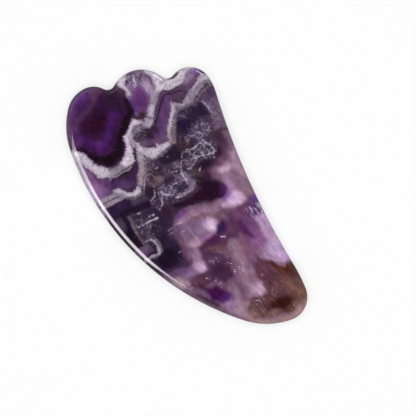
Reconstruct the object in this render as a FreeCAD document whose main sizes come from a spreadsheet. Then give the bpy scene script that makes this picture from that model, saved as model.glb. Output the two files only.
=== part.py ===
import FreeCAD, Part
import Sketcher
import math
import os

# Gua sha scraper: a horn-shaped massage board cut in one piece from a slab of banded amethyst.
#
# The stone lies flat on the XY plane with +Z up. Its long axis runs along Y, with three lobes at +Y
# and one rounded tip at -Y. The long convex scraping edge faces -X and the slightly hollow edge faces
# +X. The origin is the centre of the bounding box, on the underside. Lengths are in millimetres.
#
# The outline is a closed chain of tangent arcs. Some arcs are placed by their centres. The others are
# given a radius only, and being tangent to both neighbours places them. The outline is padded into a
# slab, and its upper and lower rims are rounded over, which leaves a narrow upright land between them.

STONE = "scraper_stone"

# Driving dimensions: alias, value and meaning.
DIMENSIONS = [
    ("overall_length", 100.0, "From the top of the big lobe to the tip"),
    ("overall_width", 53.4, "From the scraping edge to the side of the small lobe"),
    ("thickness", 6.0, "Thickness of the slab"),
    ("rim_rounding", 2.7, "Radius that rounds over the upper and lower rims"),
    ("big_lobe_radius", 10.2, "Big lobe, on its outer side"),
    ("big_lobe_offset", 13.0, "Big lobe's centre, this far to the -X side of the origin"),
    ("shoulder_radius", 25.0, "Shoulder between the big lobe and the scraping edge"),
    ("scraping_edge_radius", 92.0, "Long convex scraping edge"),
    ("scraping_edge_rise", 23.9, "Furthest point of the scraping edge, this far above the origin"),
    ("belly_radius", 25.0, "Tighter bend that brings the scraping edge round to the tip"),
    ("tip_radius", 8.1, "Rounded tip"),
    ("tip_side_radius", 60.0, "Nearly straight side of the tip"),
    ("tip_side_reach", 26.1, "Furthest point of the tip's side, this far to the +X side of the origin"),
    ("tip_side_drop", 39.7, "Furthest point of the tip's side, this far below the origin"),
    ("hollow_radius", 250.0, "Long shallow hollow of the +X edge"),
    ("small_lobe_side_radius", 18.5, "Flatter side of the small lobe"),
    ("small_lobe_side_rise", 32.8, "Furthest point of that side, this far above the origin"),
    ("small_lobe_radius", 7.5, "Small lobe"),
    ("small_lobe_drop", 7.75, "Top of the small lobe, this far below the top of the big lobe"),
    ("small_notch_radius", 2.7, "Notch between the small and middle lobes"),
    ("middle_lobe_radius", 10.7, "Middle lobe"),
    ("middle_lobe_offset", 2.6, "Middle lobe's centre, this far to the +X side of the origin"),
    ("middle_lobe_drop", 1.3, "Top of the middle lobe, this far below the top of the big lobe"),
    ("big_notch_radius", 2.6, "Notch between the middle and big lobes"),
    ("big_lobe_inner_radius", 7.2, "Big lobe, from its top down to the big notch"),
]

# The outline's arcs in anticlockwise order, starting at the top of the big lobe.
ARCS = [
    "big_lobe",
    "shoulder",
    "scraping_edge",
    "belly",
    "tip",
    "tip_side",
    "hollow",
    "small_lobe_side",
    "small_lobe",
    "small_notch",
    "middle_lobe",
    "big_notch",
    "big_lobe_inner",
]
HOLLOW_ARCS = ("hollow", "small_notch", "big_notch")

# X and Y of the centres that are not left to tangency, as the shares of the dimensions they add up to.
CENTRES = {
    "big_lobe": (
        {"big_lobe_offset": -1},
        {"overall_length": 0.5, "big_lobe_radius": -1},
    ),
    "scraping_edge": (
        {"scraping_edge_radius": 1, "overall_width": -0.5},
        {"scraping_edge_rise": 1},
    ),
    "tip": (
        {"tip_side_reach": 1, "tip_radius": -1},
        {"overall_length": -0.5, "tip_radius": 1},
    ),
    "tip_side": (
        {"tip_side_reach": 1, "tip_side_radius": -1},
        {"tip_side_drop": -1},
    ),
    "small_lobe_side": (
        {"overall_width": 0.5, "small_lobe_side_radius": -1},
        {"small_lobe_side_rise": 1},
    ),
    "small_lobe": (
        {"overall_width": 0.5, "small_lobe_radius": -1},
        {"overall_length": 0.5, "small_lobe_drop": -1, "small_lobe_radius": -1},
    ),
    "middle_lobe": (
        {"middle_lobe_offset": 1},
        {"overall_length": 0.5, "middle_lobe_drop": -1, "middle_lobe_radius": -1},
    ),
    "big_lobe_inner": (
        {"big_lobe_offset": -1},
        {"overall_length": 0.5, "big_lobe_inner_radius": -1},
    ),
}
# Of those, the coordinates that tangency settles too. They only say where the drawing starts.
ROUGH = (("tip", "X"), ("small_lobe", "X"), ("big_lobe_inner", "Y"))

# Point numbers that the sketcher gives to an arc, and its name for the origin.
START, END, CENTRE = 1, 2, 3
ORIGIN = (-1, 1)


def add_sheet(doc):
    """Adds the spreadsheet that drives the model, and returns its values by alias."""
    sheet = doc.addObject("Spreadsheet::Sheet", "Dimensions")
    for row, (alias, value, meaning) in enumerate(DIMENSIONS, start=1):
        sheet.set(f"A{row}", meaning)
        sheet.set(f"B{row}", str(value))
        sheet.setAlias(f"B{row}", alias)
    doc.recompute()
    return {alias: float(sheet.get(alias)) for alias, _, _ in DIMENSIONS}


def blend_centre(before, after, radius, bulges):
    """The centre of an arc that touches the arcs before and after it, each given as (centre, radius).

    Two such centres exist, and it is the one to the right of the way from before to after.
    """
    reach = [abs(radius - r) if bulges else radius + r for _, r in (before, after)]
    way = after[0] - before[0]
    along = (reach[0] ** 2 - reach[1] ** 2 + way.Length**2) / (2 * way.Length)
    across = math.sqrt(reach[0] ** 2 - along**2)
    way.normalize()
    return before[0] + way * along + FreeCAD.Vector(way.y, -way.x, 0) * across


def arc_circles(size):
    """The centre and radius of every arc of the outline, in order."""
    circles = {}
    for name, terms in CENTRES.items():
        x, y = (sum(share * size[alias] for alias, share in axis.items()) for axis in terms)
        circles[name] = (FreeCAD.Vector(x, y, 0), size[name + "_radius"])
    for number, name in enumerate(ARCS):
        if name not in circles:
            before = circles[ARCS[number - 1]]
            after = circles[ARCS[number + 1]]
            radius = size[name + "_radius"]
            circles[name] = (blend_centre(before, after, radius, name not in HOLLOW_ARCS), radius)
    return [circles[name] for name in ARCS]


def joint(circle, next_circle):
    """The point where two tangent circles touch."""
    (centre, radius), (next_centre, next_radius) = circle, next_circle
    way = next_centre - centre
    inside = way.Length < max(radius, next_radius)
    way.normalize()
    return centre - way * radius if inside and radius < next_radius else centre + way * radius


def draw_arcs(sketch, size):
    """Draws the arcs where the dimensions put them, ready to be constrained."""
    circles = arc_circles(size)
    joints = [joint(circle, circles[(number + 1) % len(ARCS)]) for number, circle in enumerate(circles)]
    for number, (centre, radius) in enumerate(circles):
        ends = [joints[number - 1], joints[number]]
        if ARCS[number] in HOLLOW_ARCS:
            ends.reverse()
        start, end = (math.atan2(point.y - centre.y, point.x - centre.x) for point in ends)
        if end < start:
            end += 2 * math.pi
        circle = Part.Circle(centre, FreeCAD.Vector(0, 0, 1), radius)
        sketch.addGeometry(Part.ArcOfCircle(circle, start, end), False)


def add_dimension(sketch, name, constraint, expression):
    """Adds a named dimension to the sketch and lets the spreadsheet set its value."""
    number = sketch.addConstraint(constraint)
    sketch.renameConstraint(number, name)
    sketch.setExpression(f"Constraints.{name}", expression)


def constrain_arcs(sketch, size):
    """Joins the arcs into a closed tangent chain and dimensions them from the spreadsheet."""
    for number, name in enumerate(ARCS):
        following = (number + 1) % len(ARCS)
        leaving = START if name in HOLLOW_ARCS else END
        entering = END if ARCS[following] in HOLLOW_ARCS else START
        sketch.addConstraint(Sketcher.Constraint("Tangent", number, leaving, following, entering))
    for number, name in enumerate(ARCS):
        radius = Sketcher.Constraint("Radius", number, size[name + "_radius"])
        add_dimension(sketch, name + "_radius", radius, f"Dimensions.{name}_radius")
    for name, terms in CENTRES.items():
        for axis, shares in zip("XY", terms):
            if (name, axis) in ROUGH:
                continue
            value = sum(share * size[alias] for alias, share in shares.items())
            side = 1 if value > 0 else -1
            centre = (ARCS.index(name), CENTRE)
            points = ORIGIN + centre if side > 0 else centre + ORIGIN
            expression = " + ".join(f"{side * share} * Dimensions.{alias}" for alias, share in shares.items())
            constraint = Sketcher.Constraint("Distance" + axis, *points, abs(value))
            add_dimension(sketch, f"{name}_centre_{axis.lower()}", constraint, expression)


doc = FreeCAD.newDocument("GuaShaScraper")
size = add_sheet(doc)

body = doc.addObject("PartDesign::Body", "ScraperStone")
body.Label = STONE
ground = next(plane for plane in body.Origin.OriginFeatures if plane.Role == "XY_Plane")
outline = body.newObject("Sketcher::SketchObject", "Outline")
outline.AttachmentSupport = [(ground, "")]
outline.MapMode = "FlatFace"
draw_arcs(outline, size)
constrain_arcs(outline, size)
doc.recompute()

slab = body.newObject("PartDesign::Pad", "Slab")
slab.Profile = outline
slab.setExpression("Length", "Dimensions.thickness")
outline.Visibility = False
doc.recompute()

flat_faces = [
    f"Face{number}"
    for number, face in enumerate(slab.Shape.Faces, start=1)
    if abs(face.normalAt(0, 0).z) > 0.99
]
rims = body.newObject("PartDesign::Fillet", "RoundedRims")
rims.Base = (slab, flat_faces)
rims.setExpression("Radius", "Dimensions.rim_rounding")
body.Tip = rims
doc.recompute()

for item in doc.Objects:
    if "Invalid" in item.State or "Error" in item.State:
        raise RuntimeError(f"{item.Name} did not compute")
if not outline.FullyConstrained:
    raise RuntimeError("The outline is not fully constrained")
for item in (slab, rims, body):
    if item.Shape.isNull() or not item.Shape.isValid():
        raise RuntimeError(f"{item.Name} has no valid shape")

os.makedirs("parts", exist_ok=True)
body.Shape.exportStep(f"parts/{body.Label}.step")
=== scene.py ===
import math

import bpy
import numpy as np
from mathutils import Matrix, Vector
from mathutils.geometry import delaunay_2d_cdt


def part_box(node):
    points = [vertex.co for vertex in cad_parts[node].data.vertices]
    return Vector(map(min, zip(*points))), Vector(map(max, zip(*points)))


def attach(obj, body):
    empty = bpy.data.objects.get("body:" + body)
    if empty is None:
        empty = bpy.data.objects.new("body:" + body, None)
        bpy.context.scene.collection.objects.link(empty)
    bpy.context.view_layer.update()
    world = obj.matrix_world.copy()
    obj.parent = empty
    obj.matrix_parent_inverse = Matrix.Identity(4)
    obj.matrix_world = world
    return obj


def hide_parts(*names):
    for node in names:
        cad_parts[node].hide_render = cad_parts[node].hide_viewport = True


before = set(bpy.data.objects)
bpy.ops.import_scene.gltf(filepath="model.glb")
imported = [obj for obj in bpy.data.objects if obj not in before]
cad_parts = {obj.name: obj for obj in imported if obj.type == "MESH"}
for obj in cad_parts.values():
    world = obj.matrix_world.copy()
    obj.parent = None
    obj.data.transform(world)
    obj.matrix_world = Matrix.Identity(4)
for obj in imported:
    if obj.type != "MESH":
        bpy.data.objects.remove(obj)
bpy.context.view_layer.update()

# Gua sha scraper of banded amethyst. The CAD solid gives the outline and the size. Here it is rebuilt
# as a fine mesh whose points carry the stone's growth zones, and the material adds the fine structure.
# Blender works in metres. The zones below are given in millimetres, in the part's own frame.

MM = 0.001
STONE = "scraper_stone"
LOW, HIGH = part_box(STONE)
TOP_MM = HIGH.z / MM

RIM_ROUNDING = 2.7 * MM
RIM_ROWS = 10
POINT_SPACING = 0.38 * MM
SAME_LEVEL = 0.001 * MM
MERGE_DISTANCE = 1e-7


# --- the slab's mesh


def cad_outline(node):
    """The slab's outline in anticlockwise order, read where the CAD solid's upper rim meets its side."""
    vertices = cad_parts[node].data.vertices
    points = np.array([vertex.co for vertex in vertices])
    heights = points[:, 2]
    level = heights[heights > (LOW.z + HIGH.z) / 2].min()
    ring = points[np.abs(heights - level) < SAME_LEVEL, :2]
    ring = np.unique(np.round(ring, 6), axis=0)
    return ring[np.argsort(np.arctan2(ring[:, 1], ring[:, 0]))]


def closed_spline(knots, spacing):
    """Evenly spaced points on the smooth closed curve through the knots, with their outward normals."""
    following = np.roll(knots, -1, axis=0)
    step = np.linalg.norm(following - knots, axis=1)
    slope = (following - knots) / step[:, None]
    before = np.roll(step, 1)
    count = len(knots)
    system = np.zeros((count, count))
    index = np.arange(count)
    system[index, index] = 2 * (before + step)
    system[index, index - 1] = before
    system[index, (index + 1) % count] = step
    bend = np.linalg.solve(system, 6 * (slope - np.roll(slope, 1, axis=0)))
    next_bend = np.roll(bend, -1, axis=0)

    start = np.concatenate([[0.0], np.cumsum(step)])
    samples = round(start[-1] / spacing)
    along = np.linspace(0.0, start[-1], samples, endpoint=False)
    piece = np.searchsorted(start, along, side="right") - 1
    length = step[piece][:, None]
    b = (along - start[piece])[:, None] / length
    a = 1.0 - b
    points = a * knots[piece] + b * following[piece]
    points += ((a**3 - a) * bend[piece] + (b**3 - b) * next_bend[piece]) * length**2 / 6
    tangent = slope[piece] + ((3 * b**2 - 1) * next_bend[piece] - (3 * a**2 - 1) * bend[piece]) * length / 6
    tangent /= np.linalg.norm(tangent, axis=1)[:, None]
    return points, np.stack([tangent[:, 1], -tangent[:, 0]], axis=1)


def flat_points(ring, outward, spacing):
    """A triangular grid of points inside the ring, and clear of it by more than half a step."""
    row_height = spacing * math.sqrt(3) / 2
    low, high = ring.min(0), ring.max(0)
    kept = []
    for number, y in enumerate(np.arange(low[1], high[1], row_height)):
        x = np.arange(low[0] + (number % 2) * spacing / 2, high[0], spacing)
        row = np.stack([x, np.full_like(x, y)], axis=1)
        offset = row[:, None, :] - ring[None, :, :]
        nearest = np.argmin((offset**2).sum(2), axis=1)
        depth = -(offset[np.arange(len(row)), nearest] * outward[nearest]).sum(1)
        kept.append(row[depth > spacing * 0.6])
    return np.concatenate(kept)


def slab_mesh(name):
    """The whole slab: rounded rims, the narrow land between them, and a fine grid on both faces."""
    outline, outward = closed_spline(cad_outline(STONE), POINT_SPACING)
    count = len(outline)
    turns = np.linspace(0, math.pi / 2, RIM_ROWS + 1)
    inset = RIM_ROUNDING * (1 - np.cos(turns))
    drop = RIM_ROUNDING * (1 - np.sin(turns))
    profile = list(zip(inset[::-1], HIGH.z - drop[::-1])) + list(zip(inset, LOW.z + drop))
    rings = []
    for depth, height in profile:
        rings.append(np.column_stack([outline - outward * depth, np.full(count, height)]))
    flat_ring = rings[0][:, :2]
    inner = flat_points(flat_ring, outward, POINT_SPACING)
    flat = np.concatenate([flat_ring, inner])
    border = [(i, (i + 1) % count) for i in range(count)]
    found = delaunay_2d_cdt([Vector(p) for p in flat / MM], border, [list(range(count))], 1, MERGE_DISTANCE)
    triangles = found[2]
    origins = [original[0] for original in found[3]]

    faces_inside = [np.column_stack([inner, np.full(len(inner), height)]) for height in (HIGH.z, LOW.z)]
    points = np.concatenate(rings + faces_inside)
    last_ring = count * (len(rings) - 1)
    inner_start = count * len(rings)
    under_start = inner_start + len(inner)

    def upper(i):
        return i if i < count else inner_start + i - count

    def under(i):
        return last_ring + i if i < count else under_start + i - count

    faces = []
    for row in range(len(rings) - 1):
        for i, j in border:
            faces.append((row * count + i, (row + 1) * count + i, (row + 1) * count + j, row * count + j))
    for triangle in triangles:
        a, b, c = (origins[i] for i in triangle)
        faces.append((upper(a), upper(b), upper(c)))
        faces.append((under(a), under(c), under(b)))
    mesh = bpy.data.meshes.new(name)
    mesh.from_pydata(points, [], faces)
    mesh.validate()
    mesh.shade_smooth()
    return mesh


# --- growth zones


def colour(code):
    """Linear light for a colour given as 0xRRGGBB."""
    value = np.array([code >> 16, code >> 8 & 255, code & 255]) / 255
    return np.where(value <= 0.04045, value / 12.92, ((value + 0.055) / 1.055) ** 2.4)


def smooth_noise(points, size, seed):
    """Random values from -1 to 1 that change smoothly over about the given size."""
    lattice = np.random.RandomState(seed).uniform(-1, 1, (32, 32, 32))
    cell = np.floor(points / size).astype(int)
    blend = points / size - cell
    blend = blend * blend * (3 - 2 * blend)
    total = np.zeros(len(points))
    for corner in np.ndindex(2, 2, 2):
        weight = np.prod(np.where(corner, blend, 1 - blend), axis=1)
        i, j, k = ((cell + corner) % 32).T
        total += weight * lattice[i, j, k]
    return total


def fade(distance, soft):
    """1 well inside (negative distance), 0 well outside, smooth over the soft width on each side."""
    t = np.clip(0.5 - distance / (2 * soft), 0, 1)
    return t * t * (3 - 2 * t)


def beside(*route):
    """A ribbon along a route of (x, y, half width): gives distance to its edge and distance along it."""

    def measure(points):
        best = np.full(len(points), np.inf)
        along = np.zeros(len(points))
        travelled = 0.0
        for (x1, y1, w1), (x2, y2, w2) in zip(route, route[1:]):
            run = np.array([x2 - x1, y2 - y1])
            length = np.hypot(*run)
            offset = points - (x1, y1)
            share = np.clip(offset @ run / length**2, 0, 1)
            distance = np.hypot(*(offset - share[:, None] * run).T) - w1 - (w2 - w1) * share
            nearer = distance < best
            best = np.where(nearer, distance, best)
            along = np.where(nearer, travelled + share * length, along)
            travelled += length
        return best, along

    return measure


def within(*corners):
    """A polygon: gives distance to its edge, negative inside, and distance along the edge."""
    loop = corners + corners[:1]

    def measure(points):
        distance, along = beside(*[(x, y, 0.0) for x, y in loop])(points)
        inside = np.zeros(len(points), bool)
        for (x1, y1), (x2, y2) in zip(loop, loop[1:]):
            if y1 != y2:
                crosses = (points[:, 1] > y1) != (points[:, 1] > y2)
                inside ^= crosses & (points[:, 0] < x1 + (points[:, 1] - y1) * (x2 - x1) / (y2 - y1))
        return np.where(inside, -distance, distance), along

    return measure


def ribbon(soft, *route):
    """How much of each point a ribbon covers, with an edge of the given softness."""
    return lambda points: fade(beside(*route)(points)[0], soft)


def area(soft, *corners):
    """How much of each point a polygon covers, with an edge of the given softness."""
    return lambda points: fade(within(*corners)(points)[0], soft)


def blob(x, y, across, up, turn=0.0, soft=0.6):
    """A soft ellipse. Soft is the share of its radius over which it fades, each side of its rim."""
    cosine, sine = math.cos(math.radians(turn)), math.sin(math.radians(turn))

    def amount(points):
        dx, dy = (points - (x, y)).T
        reach = np.hypot((dx * cosine + dy * sine) / across, (dy * cosine - dx * sine) / up)
        return fade(reach - 1, soft)

    return amount


# The map of the zones, in millimetres, seen from above. Shapes that run past the outline stop at it.
UPPER_BODY = (
    (-40, 60), (-40, -17), (-15, -18.5), (-11, -18), (-6.4, -19), (-6.2, -15), (-6.8, -12), (-6.2, -9.4),
    (-8.2, -7.4), (-8.2, -5.2), (-5, -4.6), (-4.2, -2.8), (-1.6, -1.6), (0, -1), (5, -1.4), (8, -1.8),
    (10.6, -2.5), (13.6, -3.4), (15.8, -1), (15.4, 1.4), (13.4, 4.4), (11.4, 7.2), (13, 9), (17, 9.4),
    (19.6, 10.6), (21, 14), (22.4, 17.4), (40, 19), (40, 60),
)
HEART = (
    (-40, 34), (-26.3, 33.8), (-24.8, 33), (-24.4, 31.6), (-22.4, 30.4), (-21.4, 28.4), (-20.4, 25.8),
    (-19.2, 24.2), (-17.2, 22.6), (-12.6, 22.2), (-11.4, 23.6), (-9.2, 25.4), (-8.6, 28), (-8.2, 30),
    (-7.2, 30), (-6.2, 31), (-4.6, 32.2), (-3.6, 33), (-2.4, 34), (-1.2, 36), (-1, 39), (-1.6, 41.6),
    (-1.2, 43.6), (-2.6, 45.2), (-3, 46.6), (-4, 60), (-40, 60),
)
BLOCKS = (
    (-40, 4), (-24.9, 6), (-24.2, 10.4), (-15.4, 10.4), (-9.4, 9.6), (-8.6, 5), (-7.6, 1), (-8.4, -4.4),
    (-8.8, -7), (-7.2, -12), (-6.8, -15), (-9, -16.8), (-40, -17),
)
TIP = (
    (13.4, -27.4), (15.4, -26.4), (17.2, -27.8), (19.4, -28.9), (20.4, -31), (21.8, -32.6), (23.2, -31.6),
    (40, -31.6), (40, -44), (24, -46.6), (19, -47.6), (10, -46), (6, -44), (5.4, -40.4), (7.6, -37.2),
    (10, -38), (13.6, -38.8), (13.4, -33),
)

# The ground colours, painted over each other in this order: where, colour, strength. One of them is a painted
# reflection.
GROUND = [
    # pale lower half
    (blob(0, 0, 200, 200), 0x74546C, 1),
    (blob(3, -3.6, 12, 2.4, -6, 0.5), 0x96788E, 0.9),
    (blob(1, -8.6, 5.4, 3, 0, 0.5), 0x826884, 0.9),
    (ribbon(0.7, (1, -4.8, 0.3), (6, -5.6, 0.8), (12, -8.4, 0.7)), 0x765860, 0.9),
    (ribbon(0.4, (-0.4, -4.4, 0.1), (3, -4.2, 0.2), (8, -3.6, 0.1)), 0xBAA0B4, 0.5),
    (blob(19.8, 3, 4.6, 5, 0, 0.5), 0x88667C, 0.95),
    (blob(17.8, 3, 1.6, 5, 4, 0.7), 0x96768A, 0.9),
    (blob(18.6, 6.2, 3.2, 1.7, -6), 0xC4AABE, 0.95),
    (blob(16, 9, 4, 1.8, -20), 0x643E5A, 0.9),
    (blob(23.2, 8, 1.8, 9), 0xA88EA2, 0.8),
    (blob(22.6, 13.6, 1.8, 3), 0x7E5C76, 0.8),
    (blob(22.4, -4.4, 1.6, 1.6), 0x8A7070, 0.8),
    (blob(21.2, -2.6, 1.3, 1.8, 0, 0.7), 0x9A7E8E, 0.7),
    (blob(14.4, 6, 1.4, 1.4, 0, 0.7), 0x6C4E62, 0.7),
    (ribbon(0.8, (-3.6, -9, 1.2), (-3, -14, 1.3), (-2.6, -18, 1.2)), 0x8A6E84, 0.9),
    (blob(-0.8, -12.8, 2.1, 1.3, -10, 0.7), 0xBC9EB0, 0.9),
    (blob(3, -9, 3, 1.6, 20, 0.7), 0x947896, 0.6),
    (blob(6.3, -9.7, 2, 2.3, 20), 0xCAB8D0, 0.98),
    (blob(4.9, -12.6, 2.4, 1.2, 20, 0.7), 0x98769E, 0.8),
    (blob(18, 0, 1.9, 3.4, 0, 0.7), 0xA486A2, 0.85),
    (area(1.1, (12.4, -5.6), (14.6, -4), (17, -2.6), (19.2, -2.6), (20.4, -4.4), (20.4, -6.4), (18, -7.3),
     (14, -6.8)), 0xCCB2D0, 0.95),
    (area(0.5, (11.6, -8.4), (16, -7.9), (21, -7.6), (40, -5.6), (40, -13), (20, -14), (13, -13)),
     0x684262, 0.95),
    (blob(18, -5.8, 2, 1.1), 0xD6BAD8, 0.6),
    (blob(22.4, -7.2, 1.4, 1.6), 0x623676, 0.85),
    (blob(21.4, -11, 2.8, 2.6, 0, 0.5), 0x5C386A, 0.85),
    (blob(-5, -21.2, 4, 1.6), 0x8A7092, 0.9),
    (blob(-2.8, -20.9, 1.9, 2.1), 0xBAA0BC, 0.95),
    (blob(-2.2, -17, 1.3, 2.4, 0, 0.7), 0x967A94, 0.7),
    (area(0.8, (-1, -14.4), (3, -13.4), (6.4, -12.4), (8.4, -10.6), (13, -10.4), (14.4, -15), (12, -18.4),
     (8.6, -20), (7.2, -23.4), (5.2, -28.6), (2, -29), (-1, -27), (-6, -27.4), (-9.4, -25.6), (-7, -22.9),
     (-1, -22.9)), 0x50304A, 0.95),
    (blob(11.4, -12.6, 2.6, 2.6), 0x603C5C, 0.8),
    (area(0.8, (6.6, -12.8), (8.2, -10.6), (10.8, -9.6), (10.6, -12), (9.6, -13.6), (8, -13.2)),
     0x321A4A, 0.98),
    (blob(3, -12.8, 2, 0.8, -20, 0.7), 0x8C6096, 0.8),
    (blob(5, -14.4, 3, 1.2, -12), 0x501A4C, 0.9),
    (area(0.6, (1, -16), (6, -16.8), (9.4, -18.6), (8.4, -19.8), (5, -19.2), (2.4, -17.8)), 0x745058, 0.85),
    (ribbon(0.5, (3, -18.4, 0.1), (6, -19.6, 0.3), (9.6, -21.4, 0.2)), 0x8E727C, 0.7),
    (blob(-6.4, -24.8, 2.4, 2), 0x643E52, 0.8),
    (blob(2, -20.8, 2.2, 1.4, 0, 0.7), 0x5E425C, 0.8),
    (area(1.3, (-2, -23.4), (4.6, -22.6), (5.6, -25), (4.8, -28.4), (2.6, -27.6), (0, -26)), 0x3E2442, 0.9),
    (blob(-9, -19.4, 3.4, 1.3, -8), 0x684C74, 0.85),
    (blob(-11.6, -22.6, 1.6, 3, 42), 0xAC9AA0, 0.9),
    (ribbon(0.9, (10.4, -19, 2.2), (10.6, -26, 2.2), (10.2, -33, 3)), 0x8A6E80, 0.95),
    (ribbon(0.9, (5.6, -31.4, 1.4), (5.4, -36, 1.2)), 0x766276, 0.8),
    (ribbon(0.5, (9.8, -17, 0.3), (10.2, -24, 0.4), (10, -30, 0.3)), 0xA68C9C, 0.6),
    (blob(14.4, -23.4, 2.2, 4.4, 10), 0x7E5A76, 0.85),
    (blob(18.4, -24.4, 1.8, 1.6, 0, 0.7), 0x9C7898, 0.8),
    (blob(11.6, -35.8, 2.8, 2.4, 0, 0.7), 0xC0A4B8, 0.95),
    (area(1.3, (16.2, -12.6), (19, -13.4), (20.6, -20), (21, -24.6), (17, -22.6), (15, -19)), 0x865886, 0.9),
    (area(0.8, (13.6, -12), (16.2, -12), (17.2, -17), (18.2, -20), (16.4, -19.6), (14.4, -17)),
     0x4E2454, 0.95),
    (area(0.9, (20.4, -13.4), (40, -13), (40, -31), (23.2, -31), (20.4, -29.8), (17.4, -28), (16.4, -26),
     (19.4, -24.6), (21, -22)), 0xAE92B2, 0.95),
    (blob(22.8, -26.6, 3, 3.2), 0xC6AECE, 0.85),
    (blob(24.6, -18, 1.4, 7), 0xB8A4BA, 0.8),
    (blob(1.2, -37.4, 3.6, 2, -42), 0x947A9C, 0.9),
    (blob(3.2, -34, 1.4, 2.8, 0, 0.7), 0x927286, 0.8),
    (blob(7.2, -20.4, 1.4, 1.6, 0, 0.7), 0x846678, 0.7),
    (ribbon(0.6, (-8.4, -28.6, 0.2), (-6, -31.8, 0.7), (-3.4, -35, 0.6)), 0x341E36, 0.9),
    (ribbon(0.8, (-6, -26.4, 0.6), (-4.6, -28.6, 0.9)), 0x3E1A34, 0.85),
    (area(0.8, (-4.8, -28.4), (-0.8, -28.6), (1.2, -30.4), (2, -33), (1.4, -34.8), (-1, -35), (-4.6, -32.4)),
     0x3E1046, 1),
    (blob(0, -33.9, 2, 1.1, 10, 0.9), 0x562872, 0.7),
    (blob(5.4, -41, 2.2, 3.4, -38), 0x9A8086, 0.9),
    (blob(3, -38.8, 1.7, 2.4, -40, 0.7), 0xAC92A2, 0.85),
    (blob(-6, -18, 1.4, 1.2, 0, 0.7), 0x46284C, 0.95),
    (blob(9, -4.8, 2.6, 1.8, 0, 0.7), 0x9A7C8E, 0.6),
    (blob(0, -11.8, 1.7, 1.2, 0, 0.7), 0xA686A0, 0.6),
    (blob(17.8, -15, 1.3, 2.2, 0, 0.7), 0x623666, 0.6),
    # brown tip
    (area(0.7, *TIP), 0x624246, 1),
    (blob(15.8, -31, 2.4, 5, 0, 0.5), 0x5C3644, 0.9),
    (area(0.6, (17.2, -28.8), (19.6, -29.6), (21.6, -33), (23.6, -32.2), (40, -31.8), (40, -39),
     (25.4, -38.4), (22.6, -34.6), (19.4, -32)), 0x462018, 0.95),
    (blob(23, -42, 2.6, 5.6, 10), 0x76564A, 0.85),
    (blob(8, -42.4, 2.6, 2.4), 0x725652, 0.85),
    (blob(16.4, -43.2, 4.8, 2.3, -6, 0.5), 0x3A140E, 0.98),
    (blob(18.6, -46.2, 2.6, 1), 0x5C3A26, 0.8),
    (blob(12, -45.4, 2.8, 1.2, 8), 0x805E58, 0.8),
    (blob(21.2, -33.6, 1.2, 1.8, 20, 0.7), 0x502618, 0.8),
    (blob(12.6, -39.2, 1.8, 1.2, 0, 0.7), 0x4E3030, 0.6),
    (blob(5.6, -42, 1.4, 1.4, 0, 0.7), 0x8E7272, 0.7),
    (blob(22, -45.6, 1.6, 1.4), 0x7C5C54, 0.8),
    (ribbon(0.9, (4, -45.4, 1.6), (12, -49, 2), (19, -49.8, 2), (25.4, -46.4, 1.4)), 0x9E8480, 0.95),
    # dark upper body, with a purple fringe round it
    (ribbon(1.3, (-8, -18.4, 0.6), (-5.6, -17, 0.6), (-5.4, -12, 0.1), (-4.6, -4, 0), (-3, -2.6, 0.8),
     (1, -1.8, 0.5), (6, -2, 0.3), (11, -3.2, 0.4)), 0x5C3864, 0.7),
    (blob(1.6, -3.4, 3.4, 0.9, -4, 0.7), 0x987696, 0.75),
    (area(0.9, *UPPER_BODY), 0x3E2C42, 1),
    (area(0.9, (7, 7.4), (10, 6.4), (13.4, 3), (15.4, 0), (14, -3.4), (10.6, -2.4), (7, -1.5), (3, -1),
     (-2, 0.6), (-3, 2.4), (4, 1.8), (8, 3)), 0x260C24, 0.98),
    (ribbon(0.8, (12.6, -3.6, 0.1), (14.6, -3.5, 0.5), (16.4, -2.2, 0.5), (17, 0.2, 0.2)), 0x9264B0, 0.92),
    (blob(14.6, -0.6, 1.3, 2, -30, 0.7), 0x4E245A, 0.8),
    (blob(-1.4, -2.2, 2.2, 1, 10, 0.8), 0x623870, 0.8),
    (blob(-6, -6.2, 1.2, 1.2, 0, 0.7), 0x78627E, 0.5),
    (area(0.5, (-0.6, 19.6), (0.2, 15.2), (3, 14.8), (7, 15), (8, 16.8), (7.4, 19.6), (4, 20.4)),
     0x281B32, 0.96),
    (blob(8.8, 18.6, 2, 2.8, 0, 0.5), 0x3C2A32, 0.95),
    (blob(10.6, 14.8, 1.6, 1), 0x322036, 0.8),
    (blob(9, 12.4, 2, 1.1), 0x5E4E64, 0.7),
    (blob(12.6, 9.6, 3, 1.8), 0x28142C, 0.95),
    (blob(11.8, 6.2, 1.5, 2, -30), 0x361C30, 0.85),
    (blob(-6, -0.2, 1.8, 2.6), 0x2A182C, 0.85),
    (blob(14, 14.8, 3.2, 1.6, 0, 0.5), 0x3E3046, 0.85),
    (blob(21.2, 14, 2, 4), 0x462C44, 0.85),
    (blob(18.6, 12, 1.4, 1.6, 0, 0.7), 0x2E1A32, 0.9),
    (area(0.5, (8.2, 22.6), (12.6, 22.2), (16, 24.4), (21.6, 24.6), (21, 27.6), (19.6, 29.4), (15, 28.8),
     (13, 30.4), (11.4, 31), (10, 29), (8.6, 26)), 0x302038, 0.98),
    (area(0.5, (8.8, 25.4), (10, 22.4), (12.2, 21.8), (14.4, 23.8), (13.8, 27), (10.8, 28)), 0x241636, 0.92),
    (area(0.7, (12.6, 21.6), (16, 23.4), (18, 24), (21, 23), (22.4, 20), (20, 17.4), (15.6, 18), (13, 19.4)),
     0x4A3854, 0.95),
    (blob(8.6, 23.6, 1.6, 2.2, -20), 0x3A2634, 0.85),
    (blob(13.4, 30, 3, 0.8, 0, 0.7), 0x544252, 0.7),
    (blob(12.2, 27.4, 1.4, 1.1, 0, 0.7), 0x4E3C5A, 0.6),
    (blob(17, 24.6, 2, 0.9), 0x2C1E34, 0.7),
    (blob(11, 16.8, 1.4, 0.9), 0x342636, 0.7),
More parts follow.
